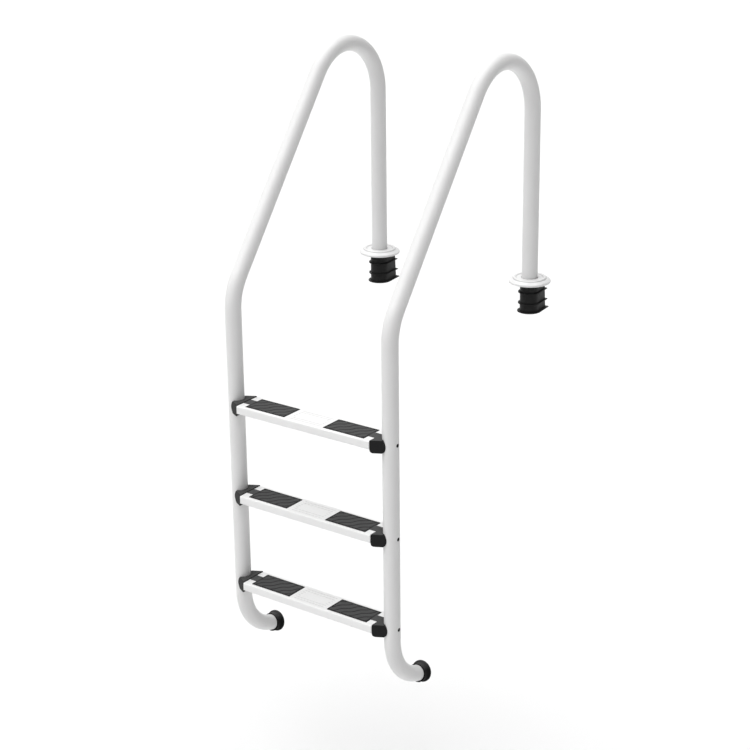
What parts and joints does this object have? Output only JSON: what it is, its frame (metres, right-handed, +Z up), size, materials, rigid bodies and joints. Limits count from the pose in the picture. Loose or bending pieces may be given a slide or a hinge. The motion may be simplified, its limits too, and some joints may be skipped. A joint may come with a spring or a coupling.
{
  "type": "pool ladder",
  "caption": "In-ground pool ladder: bent tube rails, steps with grip pads and black end caps, wall bumpers, rosettes and deck sockets with clamp wedges.",
  "frame": {"origin": "midway between the deck legs' axes, at the deck surface", "axes": "+Z up, +Y from the pool to the deck, +X across the ladder, to the right as seen from the pool"},
  "size_m": [0.614, 0.7432, 1.6176],
  "materials": {
    "rails": "satin white coat on steel tube",
    "steps": "matt white coat",
    "pads": "moulded, matt",
    "caps": "moulded, satin black",
    "plugs": "black",
    "bumpers": "black, matt",
    "rosettes": "satin white",
    "sockets": "moulded, dark",
    "wedges": "cast",
    "fasteners": "stainless"
  },
  "bodies": {
    "deck_sockets": {"deck_socket_left": "sockets", "deck_socket_right": "sockets", "clamp_washers": "fasteners"},
    "ladder": {"rail_left": "rails", "rail_right": "rails", "top_step": "steps", "top_step_pad_left": "pads", "top_step_pad_right": "pads", "top_step_cap_left": "caps", "top_step_cap_right": "caps", "middle_step": "steps", "middle_step_pad_left": "pads", "middle_step_pad_right": "pads", "middle_step_cap_left": "caps", "middle_step_cap_right": "caps", "bottom_step": "steps", "bottom_step_pad_left": "pads", "bottom_step_pad_right": "pads", "bottom_step_cap_left": "caps", "bottom_step_cap_right": "caps", "step_screws": "fasteners", "step_nuts": "fasteners", "screw_hole_plugs": "plugs", "foot_bumper_left": "bumpers", "foot_bumper_right": "bumpers"},
    "rosette_left": {"rosette_left": "rosettes"},
    "clamp_screw_left": {"clamp_screw_left": "fasteners"},
    "clamp_wedge_left": {"clamp_wedge_left": "wedges"},
    "rosette_right": {"rosette_right": "rosettes"},
    "clamp_screw_right": {"clamp_screw_right": "fasteners"},
    "clamp_wedge_right": {"clamp_wedge_right": "wedges"}
  },
  "joints": [
    {"name": "ladder_lift", "type": "slide", "parent": "deck_sockets", "child": "ladder", "axis": [0, 0, 1], "range_m": [0, 0.07]},
    {"name": "rosette_left_lift", "type": "slide", "parent": "deck_sockets", "child": "rosette_left", "axis": [0, 0, 1], "range_m": [0, 0.3]},
    {"name": "clamp_screw_left_turn", "type": "hinge", "parent": "deck_sockets", "child": "clamp_screw_left", "pos_m": [-0.25, 0.03215, 0], "axis": [0, 0, 1], "range_deg": [0, 1800]},
    {"name": "clamp_wedge_left_travel", "type": "slide", "parent": "deck_sockets", "child": "clamp_wedge_left", "axis": [0, 0, 1], "range_m": [-0.005, 0]},
    {"name": "rosette_right_lift", "type": "slide", "parent": "deck_sockets", "child": "rosette_right", "axis": [0, 0, 1], "range_m": [0, 0.3]},
    {"name": "clamp_screw_right_turn", "type": "hinge", "parent": "deck_sockets", "child": "clamp_screw_right", "pos_m": [0.25, 0.03215, 0], "axis": [0, 0, 1], "range_deg": [0, 1800]},
    {"name": "clamp_wedge_right_travel", "type": "slide", "parent": "deck_sockets", "child": "clamp_wedge_right", "axis": [0, 0, 1], "range_m": [-0.005, 0]}
  ],
  "couplings": [
    {"joint": "clamp_screw_left_turn", "follows": "clamp_wedge_left_travel", "rad_per_m": -6283},
    {"joint": "clamp_screw_right_turn", "follows": "clamp_wedge_right_travel", "rad_per_m": -6283}
  ]
}
